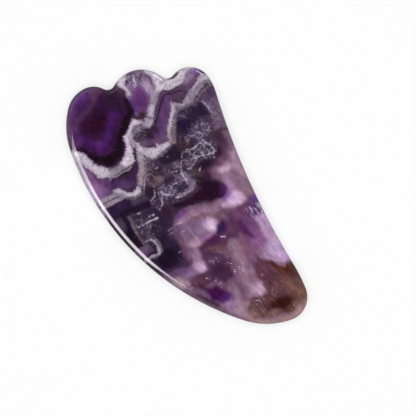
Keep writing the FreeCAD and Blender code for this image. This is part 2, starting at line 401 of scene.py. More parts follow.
    (area(0.6, (7.6, 21.4), (10, 21.2), (12.8, 17.6), (12, 16.7), (9.4, 16.7), (8, 18.4)), 0x3A2832, 0.8),
    (ribbon(0.7, (12.8, 20.4, 0.4), (15, 17.8, 0.7), (17, 15.2, 0.4)), 0x645472, 0.65),
    (blob(19.6, 17.6, 2.2, 1.3), 0x403038, 0.85),
    (area(0.7, (20.6, 29.6), (21.8, 25), (21.2, 18.6), (40, 18.6), (40, 31)), 0x66546C, 0.95),
    (blob(23.2, 29.6, 1.6, 1), 0x462C50, 0.8),
    (blob(1.4, 7, 6, 3.6, 0, 0.5), 0x3C2D44, 0.9),
    (ribbon(0.6, (4.6, 10, 0.6), (5.8, 8, 0.9), (6.8, 5.4, 0.9), (4.4, 3.9, 0.4), (0.6, 4, 0.4)),
     0x82728A, 0.85),
    (blob(-2.8, 6.6, 2.1, 1.8), 0x60526A, 0.6),
    (ribbon(0.6, (0.2, 15, 0.2), (-0.2, 12, 0.3)), 0x6C5670, 0.6),
    (blob(0, 9.2, 2.2, 1.4), 0x322434, 0.95),
    (blob(3, 8.7, 2, 0.9), 0x62526C, 0.8),
    (blob(0.8, 5.8, 0.9, 1.4), 0x54425E, 0.6),
    (blob(2.8, 5.6, 1.8, 1.3, 0, 0.5), 0x322244, 0.95),
    (blob(2.4, 13.6, 3, 0.9), 0x504052, 0.7),
    (blob(9, 8.8, 2, 1.5, -30), 0x4C3E3E, 0.8),
    (blob(9.4, 5.6, 1.7, 1.2, -30, 0.7), 0x220E24, 0.7),
    (blob(-3.4, 12, 1.6, 0.8, -8, 0.7), 0x726260, 0.75),
    (blob(-2.6, 11, 1.4, 0.9, 20, 0.7), 0x76686A, 0.75),
    (blob(-4.8, 10.6, 1.3, 0.7, 0, 0.7), 0x60504A, 0.6),
    (blob(-3.4, 14, 3, 1.4, 0, 0.5), 0x34222A, 0.9),
    (blob(-7.4, 8.8, 1.7, 2.6, 0, 0.5), 0x2C1C2E, 0.9),
    # crystal blocks at the scraping edge
    (area(0.3, *BLOCKS), 0x281A32, 1),
    (blob(-8.4, -8, 2.2, 9, 0, 0.5), 0x2E1F3A, 0.8),
    (blob(-11.6, -13.4, 3.8, 3.2, 0, 0.5), 0x1C0E22, 0.95),
    (blob(-20, 8.6, 4.4, 1.4, 0, 0.5), 0x322244, 0.7),
    (area(0.8, (-15.2, 9.8), (-9.6, 9.8), (-9, 7), (-15.2, 7)), 0x4A3C50, 0.8),
    (area(0.5, (-40, 7), (-9, 6.4), (-9, 5), (-40, 5)), 0x201228, 0.9),
    (area(0.2, (-40, 5), (-18.4, 5), (-18.2, 2.4), (-17.6, -5.8), (-40, -6)), 0x1C0F20, 1),
    (blob(-21.2, 3, 1.6, 2.6), 0x564860, 0.6),
    (area(0.4, (-18.2, 4.6), (-9, 4.6), (-8.8, 0.8), (-12.4, 0), (-12.8, -4.8), (-14.2, -5.7), (-17.5, -5.8)),
     0x3C2C42, 1),
    (area(0.5, (-16.8, 4), (-9.6, 4), (-9.4, 1.2), (-16.4, 1)), 0x2C1E3A, 0.8),
    (ribbon(0.4, (-17.6, 4, 0.3), (-17.4, 0, 0.3), (-16.9, -5, 0.3)), 0x705C62, 0.7),
    (area(0.25, (-40, -6.1), (-15, -6.1), (-14.4, -7.4), (-14.6, -9.8), (-40, -9.8)), 0x54425C, 1),
    (area(0.3, (-19, -6.7), (-16, -6.7), (-16, -8.3), (-19, -8.3)), 0x64506A, 0.7),
    (blob(-11.4, -19, 3.6, 0.9, -10, 0.7), 0x60446A, 0.8),
    (ribbon(1.0, (-14.8, -17.4, 0.3), (-10, -17.6, 0.5), (-6.8, -16.4, 0.3)), 0x3A2640, 0.75),
    (ribbon(1.0, (-7.8, -14.6, 0.2), (-8.6, -11, 0.4), (-9.4, -7.4, 0.3)), 0x2C1C36, 0.7),
    # between the first and second bands
    (area(0.4, (-40, 33.4), (-25, 32), (-22, 26), (-21.6, 20), (-18.4, 19.6), (-17.4, 17.6), (-18.6, 15.4),
     (-18.8, 13.8), (-40, 13.8)), 0x62426A, 1),
    (blob(-24.2, 17, 2.6, 3.4), 0x88648E, 0.95),
    (blob(-22, 15.4, 2.2, 1.2), 0x825E88, 0.8),
    (ribbon(0.5, (-23.2, 27, 0.2), (-22.4, 23, 0.6), (-21.6, 18.8, 0.4)), 0x50345C, 0.8),
    (ribbon(0.4, (-26.6, 32, 0.8), (-26.8, 24, 0.9), (-26.2, 14, 0.8)), 0xC4B8C8, 0.9),
    (area(0.4, (-18.6, 19.6), (-9.4, 19.8), (-7.6, 21), (-7.6, 18.4), (-10, 14), (-12.6, 11.8), (-14.6, 12.6),
     (-16.2, 15.4), (-18, 15.6)), 0x3E2444, 1),
    (blob(-24.2, 23.4, 1, 2, 14), 0x927898, 0.7),
    (blob(-14.4, 14.6, 2.8, 1.6, -20), 0x5C4068, 0.85),
    (blob(-16.6, 16.4, 1.6, 0.7), 0x462C60, 0.8),
    (area(0.3, (-40, 13.6), (-19, 13.8), (-18.6, 15), (-16.8, 14.8), (-14.6, 10.5), (-24.4, 10.5), (-25.1, 6),
     (-40, 4)), 0x988A96, 1),
    (blob(-18, 12.2, 2, 0.9), 0x847286, 0.7),
    (area(0.35, (-6.4, 22), (-5.4, 27.4), (-6.6, 30), (-4.6, 31.4), (0.8, 29), (10.4, 38.4), (20, 41),
     (40, 41), (40, 37.6), (24, 37.4), (18, 34.4), (12, 34), (7.6, 26.6), (6, 22), (1, 22.6),
     (-3.6, 23.6)), 0x624866, 1),
    (blob(-2.6, 29.8, 2.4, 1.4), 0x7A6E80, 0.8),
    (ribbon(0.6, (5.8, 21.4, 0.6), (6.4, 24, 0.8), (7.4, 26, 0.4)), 0x7A5A54, 0.8),
    (ribbon(0.8, (-7.8, 12.8, 0.8), (-5.4, 16.4, 1.2), (-3.8, 19.4, 0.8)), 0x544048, 0.8),
    (ribbon(0.6, (-9.4, 13.6, 0.9), (-7.6, 17, 1), (-5.8, 20.6, 0.8)), 0x705A54, 0.9),
    (blob(-2.6, 27, 2.2, 1.6), 0x3C2E3E, 0.9),
    (blob(0.4, 24.3, 4.6, 1.1), 0x644868, 0.8),
    (blob(0, 27.4, 2.4, 1.2), 0x322032, 0.8),
    (blob(1, 25.7, 2.2, 1), 0x301A36, 0.9),
    (area(0.4, (1.4, 25.2), (4, 24.6), (6.4, 27.4), (11.8, 34.6), (12, 36.4), (10.4, 36.6), (5.6, 31)),
     0x5C3C6A, 0.95),
    (ribbon(0.5, (3.6, 29, 0.4), (6.4, 32.2, 0.5), (9.6, 35.8, 0.4)), 0x422A56, 0.55),
    (blob(2.9, 27, 1.5, 1.2, 30, 0.7), 0x36223E, 0.8),
    (area(0.4, (11.6, 37), (16.8, 36), (17.8, 34.6), (15.6, 32.6), (12.4, 33.4)), 0x4E3852, 0.95),
    (blob(17.8, 36, 2.2, 1, 20), 0x543E5A, 0.7),
    (blob(20.8, 38.8, 3, 1.2, 25), 0x94829C, 0.9),
    (blob(23.2, 39.6, 1.6, 1, 25), 0x705696, 0.9),
    (blob(22.8, 31, 2.8, 1.8), 0x543E58, 0.85),
    (blob(24.6, 31.2, 1.2, 2.4), 0x4C3256, 0.6),
    # middle lobe
    (area(0.4, (-1.4, 34.6), (0.6, 31.8), (8.4, 39), (11, 42), (9, 60), (-3.6, 60), (-2, 44), (-0.8, 38)),
     0x88708E, 1),
    (blob(2.4, 38.4, 2.9, 4.8, -20, 0.5), 0x5E326C, 0.98),
    (blob(0.7, 33.6, 1.7, 1.5), 0x422028, 0.95),
    (blob(5.6, 44.8, 1.7, 1.2), 0x542C4C, 0.9),
    (blob(2.4, 46.2, 2.8, 2), 0x64506A, 0.85),
    (blob(1, 45.6, 0.9, 0.8), 0x3E2C44, 0.8),
    (blob(4, 47.4, 1.4, 0.6, -10), 0x463648, 0.8),
    (blob(6.8, 41, 1.2, 3, 10), 0x9E8EA6, 0.8),
    (blob(-0.7, 37.4, 0.8, 2.6), 0x442868, 0.8),
    (blob(4.4, 48.2, 3, 0.8, -10), 0x706274, 0.9),
    # big lobe
    (area(0.18, *HEART), 0x36163E, 1),
    (blob(-20.4, 42.4, 2.6, 6, -32), 0x5C3666, 0.85),
    (blob(-15.6, 46.8, 3.4, 1.9, 14, 0.7), 0x5C307A, 0.9),
    (blob(-17, 44.2, 3, 1.4, 30, 0.7), 0x401A50, 0.8),
    # Painted reflection: a paler ribbon along the rounded top rim of the big lobe, where the rim catches
    # light.
    (ribbon(0.8, (-24.6, 40, 0.5), (-20.6, 46.6, 0.7), (-14.6, 50, 0.6), (-9.4, 48.4, 0.4)), 0x6C4E82, 0.7),
    (blob(-10.6, 47.6, 2, 1.2, -10, 0.7), 0x5C4660, 0.7),
    (ribbon(0.9, (-22, 39.6, 0.6), (-14, 43, 1), (-10, 47, 1.6)), 0x543454, 0.75),
    (blob(-24.6, 38, 1.1, 3.6, -14, 0.7), 0x684874, 0.8),
    (blob(-13.8, 37.4, 4.8, 3, 14, 0.7), 0x2C0A24, 0.95),
    (blob(-22.8, 34.8, 1.4, 2, 0, 0.7), 0x623C72, 0.7),
    (blob(-2.6, 44.8, 1.4, 2.2, 0, 0.7), 0x564258, 0.8),
    (blob(-5.6, 43, 2.8, 4, 20, 0.7), 0x2E1C30, 0.9),
    (ribbon(1.2, (-22.4, 36.4, 1), (-19, 32.4, 1), (-16.4, 29.4, 1.4), (-12.4, 32.2, 1), (-8, 37.6, 1.5)),
     0x461A5E, 0.8),
    (blob(-16.6, 30.6, 1.6, 1.4, 0, 0.7), 0x542468, 0.7),
    (ribbon(0.7, (-22.8, 31.8, 0.3), (-19.6, 27, 0.9), (-15.4, 24, 1.7), (-11.6, 25.4, 1.6), (-9.8, 29, 1.0),
     (-5.6, 33.4, 1.1), (-2.6, 36, 1.1), (-2.4, 40, 0.8)), 0x180C14, 0.97),
]

# Pale bands: strength, then the corners.
BANDS = [
    # under the big lobe
    (0.6, (-27.6, 33.6), (-26.3, 33.6), (-25, 33), (-24.6, 31.6), (-25.6, 28.6), (-27.6, 29)),
    (0.77, (-25, 33), (-24.4, 31.6), (-22.4, 30.4), (-21.4, 28.4), (-20.4, 25.8), (-19.2, 24), (-16.9, 22),
     (-16.4, 19), (-19.8, 19.4), (-21.8, 20.9), (-22.3, 23.2), (-23.4, 25.3), (-24.8, 27.6), (-25.4, 29.6),
     (-27.6, 30)),
    (0.35, (-18, 21.9), (-12, 21.7), (-9.6, 19.4), (-11, 18.2), (-18, 18.1)),
    (0.9, (-12.6, 21.9), (-11.4, 22.8), (-9.4, 24.8), (-8.5, 26.6), (-8.4, 28.6), (-8.2, 30), (-7.2, 30),
     (-6.2, 31), (-4.6, 32.2), (-3.6, 33), (-2.6, 33.9), (-1.4, 32.8), (-0.2, 31.8), (-0.4, 30.8),
     (-3.4, 31), (-5, 30), (-6, 28.4), (-6.8, 25.8), (-7.2, 23), (-8, 20.4), (-10.4, 19.6), (-12.6, 19.4)),
    (0.65, (-6.8, 28), (-5.8, 30), (-4.6, 29), (-5.4, 27.4), (-5.6, 25), (-6.8, 24.6)),
    # the notch below the middle lobe, and the rise to the right
    (0.5, (-0.6, 32.4), (0.5, 31.8), (1.4, 32.6), (4.2, 30.6), (2.6, 28.8), (1.2, 28), (0.2, 29),
     (-0.8, 30.6)),
    (0.67, (1.8, 32.6), (3.4, 34.6), (5.2, 36.6), (6.8, 34.8), (5, 32.4), (3.8, 31.2)),
    (0.36, (4, 35.4), (6.4, 38.4), (8.2, 39.4), (10, 38), (8.4, 36.4), (6.4, 34)),
    (0.8, (7.8, 38.6), (8.8, 41), (8.6, 43.8), (7, 46.4), (5.8, 60), (11, 60), (14, 43), (40, 43), (40, 41.6),
     (24.4, 41.6), (22.2, 40.6), (20, 39.6), (17.9, 37.5), (15.6, 36.9), (12.4, 37.2), (10.8, 38),
     (9.4, 37.6)),
    (0.92, (9.4, 39.2), (11, 38.3), (13.8, 37.6), (16.4, 38.2), (18, 39.8), (19.6, 41.2), (16, 40.8),
     (12.6, 43.8), (10.4, 44.8), (9.2, 42)),
    (0.9, (-4, 60), (-3.2, 46.8), (-2.4, 45.4), (-1.4, 44), (-1, 41.4), (0.6, 40.8), (0.3, 43), (0, 45),
     (1.2, 46.6), (2, 60)),
    # second band
    (0.36, (5.4, 21.4), (5.6, 24), (7.4, 24.6), (7, 22.4), (6, 20.8)),
    (0.66, (-14.4, -5.8), (-13.4, -5.6), (-12.8, -7.6), (-12.8, -10.6), (-13.4, -11.4), (-19.9, -11.7),
     (-20.2, -10.4), (-14.2, -10.4), (-13.7, -8)),
    (0.8, (-18.4, 14.8), (-16.8, 14.9), (-15.6, 13.6), (-14.4, 12), (-12.8, 11.2), (-12, 12), (-10.4, 13.4),
     (-9.9, 11.6), (-10.2, 10), (-12.6, 9.4), (-14.8, 10.2), (-16.4, 12.6), (-18.2, 14)),
    (0.4, (-10.6, 13.4), (-9.2, 15), (-8.2, 17.6), (-7, 20.4), (-6.2, 22.4), (-4, 21.4), (-5, 19.4),
     (-6.2, 17), (-7.8, 14.4), (-9.6, 12)),
    (0.5, (-6.8, 20), (-6.2, 22.4), (-4, 22.4), (-4.4, 19.2)),
    (0.78, (-6.4, 22), (-6, 24.4), (-5.4, 27.4), (-3.6, 23.6), (-3.8, 22)),
    (0.76, (-5.8, 27), (-5, 25.4), (-4.2, 23.5), (-2.6, 22.9), (-1.2, 22.4), (0.3, 22), (0.9, 24),
     (1.5, 22.4), (5.6, 22.2), (5.4, 20.6), (2.6, 19.8), (0.6, 19), (-0.6, 18.5), (-2.4, 19), (-3.8, 20),
     (-4.8, 21.4), (-5.4, 23)),
    (0.78, (5.4, 23.4), (5.9, 24.6), (6.6, 26.4), (8.4, 28.6), (9.6, 30.6), (11.6, 33.8), (12.6, 31.6),
     (11.2, 29.6), (9.4, 27.6), (8.1, 25.4), (7, 24.2), (5.8, 23)),
    (0.5, (10.8, 33), (12, 33.4), (13.4, 32.2), (14.6, 31.8), (16, 32.6), (17.6, 33.6), (18.4, 30.4),
     (14.6, 30.2), (12.6, 30.8), (10.6, 31.2)),
    (0.66, (18.6, 34.2), (20, 35), (22.4, 36.6), (24.4, 37.8), (40, 38.6), (40, 35.4), (24, 35), (21.6, 34.6),
     (19.6, 33)),
    (0.32, (17, 33.2), (18.4, 34.4), (20, 33.8), (23, 35.2), (40, 35.6), (40, 34.4), (24, 34), (21.6, 32.8),
     (19.4, 31), (17.2, 30.6)),
]

# Combed edges, where pale fibres run out of a band: strength, then the route.
FRINGES = [
    (0.5, (-5, 20, 0.7), (-3, 19, 1), (1, 18.8, 1.2), (5.4, 20.4, 0.8)),
    (0.6, (6.8, 21, 0.9), (7.8, 23.4, 1.1), (9, 26.2, 1.2), (11, 29.4, 1.2), (13, 30.6, 0.9)),
    (0.43, (13, 30.4, 0.8), (16, 29.8, 0.9), (19, 30, 0.8), (22, 32.2, 0.9), (26, 33.4, 0.9)),
    (0.5, (-15.4, 10, 0.8), (-12.6, 9.2, 1.1), (-10, 9.6, 0.9)),
    (0.4, (-10, 11.6, 0.8), (-7.6, 14, 1), (-4.8, 19, 1)),
    (0.6, (-12.9, -5.4, 0.7), (-12.3, -7.6, 0.8), (-12.7, -10.6, 0.8), (-15, -11.8, 0.7), (-18, -11.8, 0.4)),
    (0.3, (2, 31, 0.5), (6, 34.4, 0.5), (10, 38, 0.4)),
]

# Thin pale crystal edges, and one painted highlight: strength, then the route.
VEINS_AND_GLINT = [
    (0.5, (-17.2, -5.7, 0.1), (-15.4, -5.5, 0.3), (-14, -5.8, 0.3)),
    (0.5, (-18.1, 19.6, 0.2), (-18, 17.8, 0)),
    (0.5, (-5, -4.4, 0.1), (-2.4, -4.5, 0.2)),
    (0.5, (-7.8, -5.2, 0.2), (-6.4, -5.1, 0.1)),
    (0.3, (-8.6, -6.3, 0.1), (-6.8, -6.4, 0.1)),
    (0.4, (-7.8, -13.4, 0.1), (-7, -13.4, 0.1)),
    (0.45, (-4, -7.6, 0.1), (-2.4, -7.6, 0.2)),
    (0.5, (1.8, -0.9, 0.1), (2.8, -1.2, 0.2)),
    (0.6, (-4.4, 7.4, 0.3), (-3.2, 5.8, 0.2), (-1, 5, 0.2)),
    (0.75, (-0.6, 4, 0.1), (0.8, 3.4, 0.3), (2.2, 3, 0.2)),
    (0.4, (2.4, 3.6, 0.1), (4.6, 3.6, 0.2), (6.8, 4, 0.1)),
    (0.6, (4.2, 10.4, 0.2), (4.8, 8, 0.3), (4.9, 6.6, 0.2)),
    (0.4, (0.4, 7.8, 0.09), (2, 8.2, 0.12), (3.8, 8, 0.12)),
    (0.4, (0.4, 12.6, 0), (1.6, 12, 0.1), (4, 11.6, 0.1)),
    (0.5, (4.4, 10.6, 0.1), (5.6, 13.4, 0.1), (7.6, 16.4, 0.1)),
    (0.5, (-9.6, 9.8, 0), (-8.4, 12.4, 0.2), (-7.4, 13.6, 0.1)),
    (0.45, (7.6, 16.6, 0.1), (9.4, 15.8, 0.18), (10.4, 14, 0.15), (11, 12.8, 0.18), (9.6, 11.8, 0.18),
     (8, 10.6, 0.18), (6.6, 10.8, 0.12)),
    (0.65, (8.8, 17, 0.08), (10.6, 16.2, 0.12), (13.4, 16.6, 0.15), (15.4, 16.8, 0.18), (17, 15.2, 0.18),
     (17.8, 13.4, 0.2), (17.4, 12.4, 0.24), (14.4, 12.6, 0.2), (12, 13, 0.12), (10.6, 13.8, 0.12)),
    (0.5, (12.4, 16.4, 0.05), (13.2, 14.6, 0.1), (13.8, 12.8, 0.1)),
    (0.5, (14.8, 16.6, 0.05), (15.4, 14.6, 0.1), (16.2, 12.8, 0.1)),
    (0.7, (15, 18.6, 0.06), (16, 16.4, 0.12)),
    (0.6, (16.8, 12.4, 0.18), (16.6, 10.4, 0.06)),
    (0.5, (13.6, 12.4, 0.2), (14.2, 11.2, 0)),
    (0.5, (15.4, 12.4, 0.2), (15.4, 11, 0)),
    (0.3, (17.8, 13, 0.2), (18.4, 11.8, 0)),
    (0.7, (10.4, 8.4, 0.09), (11.2, 9.4, 0.12)),
    (0.2, (-17.8, 2.4, 0), (-17.6, 0, 0.1), (-17.3, -3.6, 0)),
    (0.5, (-11.6, 1.9, 0.1), (-9.6, 1.9, 0.2)),
    (0.85, (-12.6, 0.3, 0.18), (-10.6, 0.4, 0.21), (-8.7, 0.3, 0.24)),
    (0.5, (-16.4, -0.4, 0.12), (-12.6, 0, 0.18)),
    (0.6, (-14.6, 4.3, 0.12), (-13.8, 4.3, 0.12)),
    (0.6, (-8.6, 6, 0.06), (-7.2, 7, 0.12), (-6, 9.4, 0.09)),
    (0.6, (-7.2, 2.4, 0.09), (-5.6, 4.2, 0.15), (-4.4, 6.8, 0.18)),
    (0.6, (-3, 15.4, 0.06), (-1.8, 15.6, 0.12)),
    (0.4, (20.8, 29.2, 0.2), (22, 26.4, 0.2), (22.8, 23.6, 0)),
    (0.5, (11.8, 28, 0.09), (13, 27, 0.12), (14, 25.8, 0.06)),
    (0.5, (17.6, 34.6, 0.12), (18.4, 33.4, 0.06)),
    # Painted highlight: a short bright streak just inside the right lobe's rim, where the rim catches light.
    (0.8, (22.4, 40.4, 0.12), (23.6, 39.6, 0.15)),
    (0.8, (3.5, 46.8, 0.1), (3.1, 45, 0.3), (3.2, 43, 0)),
    (0.5, (2.2, 44.4, 0), (2.5, 43.2, 0.2), (2.9, 42, 0)),
    (0.5, (4.8, 43, 0.1), (5.6, 41.6, 0.2), (6, 39.8, 0.1)),
    (0.55, (20.2, -9.4, 0.1), (20.6, -10.6, 0.3), (20.4, -12.6, 0.1)),
    (0.55, (21.6, -9.6, 0.1), (22, -11.6, 0.3), (22, -13.4, 0.1)),
    (0.6, (23.2, -9, 0.2), (23.4, -11, 0.4), (23.4, -13.6, 0.3)),
    (0.5, (18.8, -9.6, 0.1), (19.2, -11.2, 0)),
    (0.5, (19.7, -11.6, 0.1), (19.9, -13.2, 0)),
    (0.45, (21.1, -12.6, 0.1), (21.3, -14.2, 0)),
    (0.4, (22.5, -9, 0.1), (22.7, -10.4, 0)),
    (0.8, (7.4, -14.4, 0.18), (8.8, -15.2, 0.24)),
    (0.5, (21, -30.6, 0.09), (22.4, -32.8, 0.06)),
    (0.5, (22.8, -30.8, 0.12), (23, -32.2, 0.06)),
]

# Thin dark lines, and a painted dark reflection along one rim: strength, then the route.
LINES = [
    # Painted dark reflection along the rim of the notch between the middle and right lobes.
    (0.9, (13.8, 41, 0.2), (15.6, 41, 0.7), (16.8, 41.2, 0.6), (18.2, 41.8, 0.1)),
    (0.8, (-16.6, 19.2, 0.1), (-14, 19.1, 0.2), (-11.4, 19.2, 0.2), (-10, 20.4, 0.1)),
    (0.75, (-17.6, 18, 0.1), (-14, 17.9, 0.3), (-10.8, 18, 0.3), (-9, 19.6, 0.1)),
    (0.5, (-17, 21.6, 0.1), (-12.6, 21.4, 0.1)),
    (0.75, (-3.4, 29.6, 0), (-1.4, 27.4, 0.2), (0.6, 26.6, 0.2), (2.4, 27.6, 0.2), (4.6, 30.2, 0.25),
     (8, 33.8, 0.3), (10.6, 36.6, 0.25)),
    (0.7, (-1.8, 29.6, 0.1), (0, 28, 0.2), (1.2, 27.8, 0.2), (2.8, 29.2, 0.2), (4, 30.6, 0.1)),
    (0.5, (4.6, 31.6, 0.1), (7.2, 34.4, 0.2), (9.4, 36.8, 0.1), (10.9, 38.2, 0)),
    (0.7, (9.6, 37, 0.1), (10.9, 38, 0.2), (11.8, 37.2, 0.2), (14, 36.9, 0.2), (16.4, 36.6, 0.1)),
    (0.75, (10.6, 36.6, 0.25), (12.4, 36, 0.25), (15.6, 35.2, 0.2), (17.2, 34.4, 0.1)),
    (0.85, (-27, 12.1, 0.15), (-20, 12.1, 0.2), (-17.6, 12, 0.1)),
    (0.8, (-19.8, -5.9, 0.1), (-15.2, -6, 0.2), (-14.6, -9.8, 0.25), (-20, -9.9, 0.2)),
    (0.7, (-18, 4.9, 0.1), (-9, 4.9, 0.2)),
    (0.6, (-15.4, 9.8, 0.1), (-15.3, 5.4, 0.2)),
    (0.4, (11.4, 31.2, 0.1), (12.6, 31.6, 0.2), (14.8, 30.2, 0.1)),
    (0.7, (-25.6, 33.4, 0.1), (-24, 32.2, 0.2), (-22.4, 30.6, 0.1)),
    # More of the painted dark reflection along the same rim.
    (0.8, (13, 41.3, 0.1), (15, 41.3, 0.35), (16.8, 42, 0.2)),
    (0.4, (7.2, 46, 0.1), (8.2, 43.4, 0.4), (8, 40.8, 0.1)),
]

# Where crumbly crystal, silky grain and white flecks show, as patches that add up.
NETWORK = [
    (blob(1.8, 6.8, 6.8, 4, 0, 0.5), 0.5),
    (blob(2.6, 6, 1.8, 1.4, 0, 0.5), -0.4),
    (blob(0, 9.4, 1.8, 1.2, 0, 0.5), -0.45),
    (blob(-7.4, 8.6, 1.5, 2.2, 0, 0.5), -0.8),
    (blob(11, 20.4, 2.2, 1.8, 0, 0.5), 0.5),
    (blob(13.8, 14.2, 4.8, 2.9, 0, 0.4), 0.6),
    (blob(15.4, 18.4, 2.4, 1.4, -50, 0.5), 0.2),
    (blob(17.6, 21, 5, 2.8, 0, 0.5), 0.55),
    (blob(4.6, 13, 5.4, 1.6, 0, 0.5), 0.5),
    (blob(-13.6, -1.4, 3.6, 4), 0.35),
    (blob(-16.2, 0.4, 1.2, 4, 0, 0.5), 0.2),
    (blob(-6, 15, 2.8, 5.8, -24, 0.5), 0.5),
    (blob(-7, 6, 2, 3, 0, 0.5), 0.4),
    (blob(18, 31.4, 7, 2.6, 20, 0.5), 0.35),
    (blob(23.8, 24, 2, 6, 0, 0.5), 0.3),
    (blob(-3, 28, 3, 2, 0, 0.5), 0.3),
    (blob(2.6, 46, 3.6, 2.4, 0, 0.5), 0.5),
    (blob(6.4, 42, 1.6, 3.4, 10, 0.5), 0.4),
]
SILK = [
    (blob(21, -11, 4, 3, 0, 0.5), 0.6),
    (area(1.0, *TIP), 0.45),
    (blob(8, -20, 18, 21, 0, 0.3), 0.25),
]
SPECKS = [
    (blob(8, -15, 1.9, 1.1, -20, 0.4), 1.3),
    (blob(8, -27.2, 1.9, 1.4, 0, 0.4), 1.5),
    (blob(6.4, -23.3, 1.6, 0.9, 0, 0.4), 1.4),
    (blob(2, -20.8, 1.9, 1.4, 0, 0.4), 0.85),
    (ribbon(0.6, (-2.6, -25.2, 0.7), (-0.6, -26.8, 0.8)), 1.4),
    (ribbon(0.6, (0.4, -28.4, 0.6), (2, -31, 0.9), (3.4, -31.2, 0.7)), 1.5),
    (blob(-9, -25.6, 1.1, 0.9, 0, 0.4), 1.1),
    (blob(10.4, -39.4, 2.6, 1.2, 0, 0.5), 1.3),
    (blob(16.6, -38.4, 1.4, 1.6, 0, 0.5), 1.0),
    (blob(15.4, -33, 2, 3, 0, 0.5), 0.4),
    (blob(19.8, -45.8, 1, 2, 0, 0.5), 1.3),
    (blob(8, -25, 8, 14, 0, 0.4), 0.3),
    (area(1.5, *TIP), 0.25),
    (blob(-7, -15, 1.6, 2.6, 0, 0.5), 0.9),
    (blob(-16, 7, 8, 3.4, 0, 0.5), 0.6),
    (blob(-22, 3, 1.4, 2, 0, 0.5), 0.9),
    (blob(-10.4, 1.6, 1.8, 0.8, 0, 0.5), 1.1),
    (blob(2, 45, 3, 3, 0, 0.5), 0.9),
    (area(1.5, *HEART), 0.6),
    (blob(3, -1, 9, 1.4, -8, 0.5), 0.7),
    (blob(3.4, 17, 3, 1.4, 0, 0.5), 0.8),
]

# How far layers shift sideways per millimetre of depth, and how far they wander.
LEAN = (0.28, -0.36)
WANDER_MM = 0.34
RIPPLE_MM = 0.2
# Over this distance the strengths of shapes that overlap blend, and beyond FAR_MM no shape counts.
BLENDING_MM = 0.25
FAR_MM = 9.0


def paint(points, coats):
    """Paints the coats over each other, and returns a colour for each point."""
    colours = np.zeros((len(points), 3))
    for amount, tint, strength in coats:
        share = (amount(points) * strength)[:, None]
        colours += (colour(tint) - colours) * share
    return colours


def collect(points, patches):
    """Adds up patches of (where, amount), to 1.5 at most."""
    total = np.zeros(len(points))
    for amount, strength in patches:
        total += amount(points) * strength
    return np.clip(total, 0, 1.5)


def nearest_shape(points, kind, shapes):
    """Distance to the edge of the nearest shape, negative inside, how far along it, and its strength."""
    best = np.full(len(points), FAR_MM)
    along = np.zeros(len(points))
    weights = np.full(len(points), 1e-9)
    strength = np.zeros(len(points))
    for value, *places in shapes:
        distance, here = kind(*places)(points)
        nearer = distance < best
        best = np.where(nearer, distance, best)
        along = np.where(nearer, here, along)
        weight = np.exp(-np.clip(distance, -FAR_MM, FAR_MM) / BLENDING_MM)
        weights += weight
        strength += value * weight
    return np.column_stack([best, along, strength / weights])


def growth_points(points):
    """Places in the zone map for the mesh points: the layers lean, and they wander a little."""
    depth = points[:, 2] - TOP_MM
    lean = np.column_stack([side * depth for side in LEAN])
    wander = np.column_stack([smooth_noise(points, 3.1, seed) for seed in (11, 12)])
    ripple = np.column_stack([smooth_noise(points, 1.3, seed) for seed in (13, 14)])
    return points[:, :2] + lean + WANDER_MM * wander + RIPPLE_MM * ripple


def store(mesh, name, values):
    """Stores a value of three numbers on every point of the mesh."""
    attribute = mesh.attributes.new(name, "FLOAT_VECTOR", "POINT")
    attribute.data.foreach_set("vector", np.ascontiguousarray(values, dtype=np.float32).ravel())


def paint_zones(mesh):
    """Gives the mesh the values that the stone's material reads."""
    points = np.empty(len(mesh.vertices) * 3)
    mesh.vertices.foreach_get("co", points)
    places = growth_points(points.reshape(-1, 3) / MM)
    store(mesh, "ground", paint(places, GROUND))
    store(mesh, "band", nearest_shape(places, within, BANDS))
    for name, routes in (("fringe", FRINGES), ("vein_and_glint", VEINS_AND_GLINT), ("line", LINES)):
        store(mesh, name, nearest_shape(places, beside, routes))
    store(mesh, "texture", np.column_stack([collect(places, patches) for patches in (NETWORK, SILK, SPECKS)]))


# --- the stone's material

QUARTZ_IOR = 1.54


